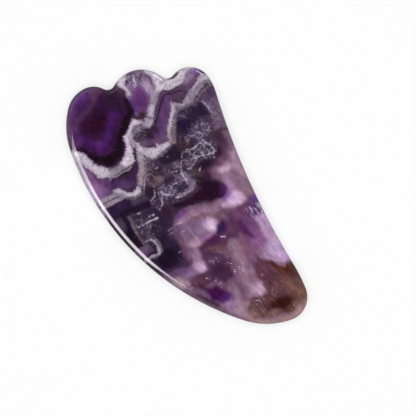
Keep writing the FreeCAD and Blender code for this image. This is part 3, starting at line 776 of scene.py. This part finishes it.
class Nodes:
    """Adds nodes to a tree and links them. Sizes are in millimetres."""

    def __init__(self, tree):
        self.tree = tree
        self.place = self.scaled(self.add("TexCoord").outputs["Object"], 1 / MM)

    def add(self, kind, inputs=None, **settings):
        made = self.tree.nodes.new("ShaderNode" + kind)
        for name, value in settings.items():
            setattr(made, name, value)
        self.fill(made, inputs or {})
        return made

    def fill(self, node, inputs):
        """Links each input to a socket, or sets it where the value is a plain number or colour."""
        for name, value in inputs.items():
            if isinstance(value, bpy.types.NodeSocket):
                self.tree.links.new(value, node.inputs[name])
            else:
                node.inputs[name].default_value = value

    def calc(self, operation, *values):
        return self.add("Math", dict(enumerate(values)), operation=operation).outputs[0]

    def times(self, first, second):
        return self.calc("MULTIPLY", first, second)

    def plus(self, first, second):
        return self.calc("ADD", first, second)

    def line(self, value, slope, start):
        """The value times the slope, plus the start."""
        return self.calc("MULTIPLY_ADD", value, slope, start)

    def vector(self, operation, first, second):
        return self.add("VectorMath", {0: first, 1: second}, operation=operation).outputs[0]

    def scaled(self, vector, amount):
        return self.add("VectorMath", {0: vector, 3: amount}, operation="SCALE").outputs[0]

    def ramp(self, *numbers):
        """Moves a value smoothly from one range to another, 0 to 1 if not given, and holds it there."""
        return self.add("MapRange", dict(enumerate(numbers)), interpolation_type="SMOOTHSTEP").outputs[0]

    def mix(self, share, first, second):
        return self.add("Mix", {0: share, 6: first, 7: second}, data_type="RGBA").outputs[2]

    def attribute(self, name):
        return self.add("Attribute", attribute_name=name).outputs["Vector"]

    def parts(self, name):
        """The three numbers of a value that the mesh carries."""
        return self.add("SeparateXYZ", {0: self.attribute(name)}).outputs

    def noise(self, size, detail=3.0, roughness=0.55, place=None, output="Fac"):
        inputs = {"Vector": place or self.place, "Scale": 1 / size, "Detail": detail, "Roughness": roughness}
        return self.add("TexNoise", inputs).outputs[output]

    def cells(self, size, place, **settings):
        return self.add("TexVoronoi", {"Vector": place, "Scale": 1 / size}, **settings).outputs

    def warped(self, size, amount, detail=2.0):
        """The place, pushed about by noise of the given size."""
        push = self.vector("SUBTRACT", self.noise(size, detail, 0.5, output="Color"), (0.5, 0.5, 0.5))
        return self.vector("ADD", self.place, self.scaled(push, 2 * amount))

    def stretched(self, turn, size, place=None):
        """The place, turned about Z and divided by the three sizes, for grain that runs one way."""
        inputs = {"Vector": place or self.place, "Rotation": (0, 0, math.radians(turn)), "Scale": size}
        return self.add("Mapping", inputs, vector_type="TEXTURE").outputs[0]

    def fibres(self, along, distance, density, roughness):
        """Streaks that cross a band, so many to a millimetre along it."""
        across = self.add("CombineXYZ", {0: self.times(along, density), 1: self.times(distance, 0.4)})
        return self.noise(1.0, 5, roughness, across.outputs[0])


def solid(code):
    """A colour for a node's socket."""
    return (*colour(code), 1)


def veils(nodes):
    """How much smoky veils brighten the stone as they wave through it."""
    place = nodes.stretched(22, (0.9, 4.2, 2), nodes.warped(6.0, 1.8))
    height = nodes.calc("ABSOLUTE", nodes.calc("SUBTRACT", nodes.noise(1.3, 2, 0.5, place), 0.5))
    return nodes.times(nodes.ramp(height, 0.09, 0.0), nodes.ramp(nodes.noise(3.4, 3), 0.4, 0.62, 0, 0.6))


def cloudy_ground(nodes, silkiness):
    """The zones' colours, one painted reflection among them, clouded, grained, and drifting between a warmer
    and a bluer tint.
    """
    drawn_out = nodes.stretched(10, (0.75, 1.7, 1), nodes.warped(4.0, 1.6))
    wisps = nodes.ramp(nodes.noise(2.4, 5, 0.52, drawn_out), 0.3, 0.7, 0.76, 1.23)
    grain = nodes.ramp(nodes.noise(0.8, 4, 0.6, drawn_out), 0.28, 0.72, 0.92, 1.08)
    silk = nodes.noise(1.0, 4, 0.6, nodes.stretched(22, (0.6, 5, 2)))
    silk = nodes.line(nodes.ramp(silk, 0.3, 0.7, -0.45, 0.45), silkiness, 1.0)
    veiled = nodes.line(veils(nodes), silkiness, wisps)
    drift = nodes.ramp(nodes.noise(3.6, 4, 0.6), 0.32, 0.68)
    tint = nodes.mix(drift, (1.06, 0.9, 0.95, 1), (0.95, 0.92, 1.05, 1))
    tinted = nodes.vector("MULTIPLY", nodes.attribute("ground"), tint)
    return nodes.scaled(tinted, nodes.times(nodes.times(veiled, grain), silk))


def add_network(nodes, under, amount):
    """Crumbly crystal, with fine pale boundaries, coarse and fine, broken up by noise."""
    crumbs = nodes.ramp(nodes.noise(1.1, 6, 0.74), 0.32, 0.68, -0.7, 0.8)
    under = nodes.scaled(under, nodes.line(crumbs, amount, 1.0))
    place = nodes.warped(1.6, 0.8, 6.0)
    edges = []
    for size, width, strength in ((1.9, 0.13, 0.75), (0.95, 0.14, 0.42)):
        distance = nodes.cells(size, place, feature="DISTANCE_TO_EDGE")["Distance"]
        edges.append(nodes.times(nodes.ramp(distance, width, 0.0), strength))
    broken = nodes.ramp(nodes.noise(1.3, 5, 0.7), 0.42, 0.62)
    haze = nodes.ramp(nodes.noise(0.9, 6, 0.72), 0.52, 0.75, 0, 0.25)
    total = nodes.calc("MAXIMUM", nodes.times(nodes.calc("MAXIMUM", *edges), broken), haze)
    return nodes.mix(nodes.times(total, amount), under, solid(0xCEC2D6))


def add_specks(nodes, under, amount):
    """Tiny white flecks scattered in the clearer stone, and gathered into clusters here and there."""
    ragged = nodes.warped(0.7, 0.3, 3.0)
    spots = nodes.cells(1.0, nodes.stretched(-18, (1.4, 0.55, 1), ragged), voronoi_dimensions="2D")
    pick, shrink, _ = nodes.add("SeparateColor", {0: spots["Color"]}).outputs
    near = nodes.ramp(nodes.line(shrink, 0.4, spots["Distance"]), 0.54, 0.18)
    chosen = nodes.ramp(nodes.plus(pick, amount), 1.5, 2.0, 0, 0.74)
    return nodes.mix(nodes.times(near, chosen), under, solid(0xCCB6D4))


def add_fringes(nodes, under):
    """Pale fibres that comb out of the bands and thin away."""
    distance, along, strength = nodes.parts("fringe")
    fibre = nodes.ramp(nodes.fibres(along, distance, 3.2, 0.7), 0.3, 0.72, 0.2, 1)
    deep = nodes.ramp(nodes.line(nodes.noise(1.1, 4), 1.4, distance), 0.7, -0.5)
    return nodes.mix(nodes.times(nodes.times(fibre, deep), strength), under, solid(0xB6A2B8))


def add_bands(nodes, under):
    """The pale bands: frayed and combed by fibres that cross them, mottled, and whitest along the middle."""
    distance, along, strength = nodes.parts("band")
    fibre = nodes.fibres(along, distance, 1.3, 0.72)
    fray = nodes.line(fibre, 3.2, -1.6)
    rough = nodes.line(nodes.noise(0.9, 5, 0.65), 1.0, -0.5)
    frayed = nodes.plus(nodes.plus(distance, fray), rough)
    pale = nodes.mix(nodes.ramp(frayed, 0.0, -1.0), solid(0xB6A2BC), solid(0xE4D7E6))
    comb = nodes.ramp(fibre, 0.32, 0.6, 0.55, 1.12)
    mottle = nodes.ramp(nodes.noise(2.0, 5, 0.58, nodes.warped(2.0, 0.6)), 0.3, 0.58, 0.66, 1.07)
    pale = nodes.scaled(pale, nodes.times(comb, mottle))
    return nodes.mix(nodes.times(nodes.ramp(frayed, 0.12, -0.24), strength), under, pale)


def add_lines(nodes, under):
    """Thin dark growth lines, and a painted dark reflection along one rim."""
    distance, _, strength = nodes.parts("line")
    wander = nodes.line(nodes.noise(0.9, 3), 0.3, -0.15)
    share = nodes.ramp(nodes.plus(distance, wander), 0.22, -0.12)
    return nodes.mix(nodes.times(share, strength), under, solid(0x221424))


def add_veins_and_glint(nodes, under):
    """Thin bright crystal edges, broken along their length, and one painted highlight on the right lobe's
    rim.
    """
    distance, _, strength = nodes.parts("vein_and_glint")
    wander = nodes.line(nodes.noise(0.8, 5, 0.75), 1.8, -0.9)
    share = nodes.ramp(nodes.plus(distance, wander), 0.22, -0.16)
    broken = nodes.ramp(nodes.noise(1.0, 3), 0.36, 0.58, 0.3, 1)
    return nodes.mix(nodes.times(nodes.times(share, broken), strength), under, solid(0xDACEE2))


def banded_amethyst():
    """Polished banded amethyst: one gloss over all the zones."""
    material = bpy.data.materials.new("banded_amethyst")
    material.use_nodes = True
    nodes = Nodes(material.node_tree)
    bsdf = material.node_tree.nodes["Principled BSDF"]
    network, silkiness, specks = nodes.parts("texture")

    body = cloudy_ground(nodes, silkiness)
    body = add_network(nodes, body, network)
    body = add_specks(nodes, body, specks)
    for add_zone in (add_fringes, add_bands, add_lines, add_veins_and_glint):
        body = add_zone(nodes, body)

    polish = nodes.ramp(nodes.noise(2.6, 4, 0.6), 0.3, 0.7, 0.05, 0.1)
    waves = {"Height": nodes.noise(1.6, 4, 0.5), "Strength": 0.3, "Distance": 0.02 * MM}
    bump = nodes.add("Bump", waves).outputs[0]
    nodes.fill(bsdf, {"Base Color": body, "Roughness": polish, "IOR": QUARTZ_IOR, "Normal": bump})
    return material


# --- building


def build():
    mesh = slab_mesh("banded_stone")
    paint_zones(mesh)
    stone = bpy.data.objects.new("banded_stone", mesh)
    stone.data.materials.append(banded_amethyst())
    bpy.context.scene.collection.objects.link(stone)
    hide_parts(STONE)
    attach(stone, "root")


# --- floor, lights and camera

# Area lights: name, azimuth and zenith angle in degrees, distance, width and height, radiance, tint.
# The softboxes lie one in another, so that their gleam is brightest along its middle.
GLEAM_TINT = (1, 0.92, 1)
WHITE = (1, 1, 1)
SOFTBOX_RADIANCE = 5.2
LIGHTS = [
    ("overhead", (0, 0), 1.2, (1.6, 1.6), 2.2, WHITE),
    ("softbox_0", (185, 53), 0.8, (0.58, 0.84), SOFTBOX_RADIANCE, GLEAM_TINT),
    ("softbox_1", (188, 53), 0.8, (0.46, 0.62), SOFTBOX_RADIANCE, GLEAM_TINT),
    ("softbox_2", (191, 53), 0.8, (0.34, 0.4), SOFTBOX_RADIANCE, GLEAM_TINT),
    ("strip", (112, 62), 0.8, (0.7, 0.24), 1.0, GLEAM_TINT),
    ("small_box", (38, 75), 0.8, (0.28, 0.2), 9, WHITE),
]

FLOOR_SIZE = 6.0
FLOOR_GREY = (0.42, 0.42, 0.42, 1)
CAMERA_LENS = 100
CAMERA_FIELD = 0.14025
CAMERA_CENTRE = (0.00761, -0.00399)
CAMERA_TURN = -25


def add_floor():
    """A plain pale floor. It stays out of the stone's reflections, so the rims keep their own colour.

    It glows a little, and more far out, so that it meets the pale backdrop without a line.
    """
    bpy.ops.mesh.primitive_plane_add(size=FLOOR_SIZE, location=(0, 0, LOW.z))
    floor = bpy.context.object
    floor.name = "floor"
    floor.visible_glossy = False
    paper = bpy.data.materials.new("pale_floor")
    paper.use_nodes = True
    bsdf = paper.node_tree.nodes["Principled BSDF"]
    nodes = Nodes(paper.node_tree)
    away = nodes.add("VectorMath", {0: nodes.place}, operation="LENGTH").outputs["Value"]
    glow = nodes.ramp(away, 300, 2400, 0.58, 0.86)
    nodes.fill(bsdf, {"Base Color": FLOOR_GREY, "Roughness": 0.9, "Specular IOR Level": 0.0})
    nodes.fill(bsdf, {"Emission Color": (1, 1, 1, 1), "Emission Strength": glow})
    floor.data.materials.append(paper)


def add_light(name, direction, distance, size, radiance, tint):
    """An area light that faces the stone. The overhead one lights it, and the others only give gleams."""
    azimuth, zenith = (math.radians(angle) for angle in direction)
    wide, high = size
    data = bpy.data.lights.new(name, "AREA")
    data.shape = "RECTANGLE"
    data.size = wide
    data.size_y = high
    data.energy = radiance * math.pi * wide * high
    data.color = tint
    light = bpy.data.objects.new(name, data)
    sideways = math.sin(zenith)
    away = Vector((sideways * math.cos(azimuth), sideways * math.sin(azimuth), math.cos(zenith)))
    light.location = away * distance
    light.rotation_euler = away.to_track_quat("Z", "Y").to_euler()
    bpy.context.scene.collection.objects.link(light)
    if name == "overhead":
        light.visible_glossy = False
    else:
        light.visible_diffuse = False


def add_camera():
    """The photo's view: straight down, turned about the vertical."""
    data = bpy.data.cameras.new("camera")
    data.lens = CAMERA_LENS
    camera = bpy.data.objects.new("camera", data)
    bpy.context.scene.collection.objects.link(camera)
    height = CAMERA_FIELD * data.lens / data.sensor_width
    camera.location = (*CAMERA_CENTRE, height + HIGH.z / 2)
    camera.rotation_euler = (0, 0, math.radians(CAMERA_TURN))
    bpy.context.scene.camera = camera


def add_world():
    """A dim studio round the stone, dark overhead. Only the backdrop that the camera sees is pale."""
    world = bpy.data.worlds.new("studio")
    bpy.context.scene.world = world
    world.use_nodes = True
    nodes = Nodes(world.node_tree)
    background = world.node_tree.nodes["Background"]
    direction = nodes.add("TexCoord").outputs["Generated"]
    height = nodes.add("SeparateXYZ", {0: direction}).outputs[2]
    dim = nodes.ramp(height, 0.45, 0.95, 0.32, 0.04)
    seen = nodes.add("LightPath").outputs["Is Camera Ray"]
    strength = nodes.calc("MAXIMUM", dim, nodes.times(seen, 0.95))
    nodes.fill(background, {"Color": (1, 1, 1, 1), "Strength": strength})


build()
add_floor()
for light_settings in LIGHTS:
    add_light(*light_settings)
add_camera()
add_world()
bpy.context.scene.view_settings.view_transform = "Standard"
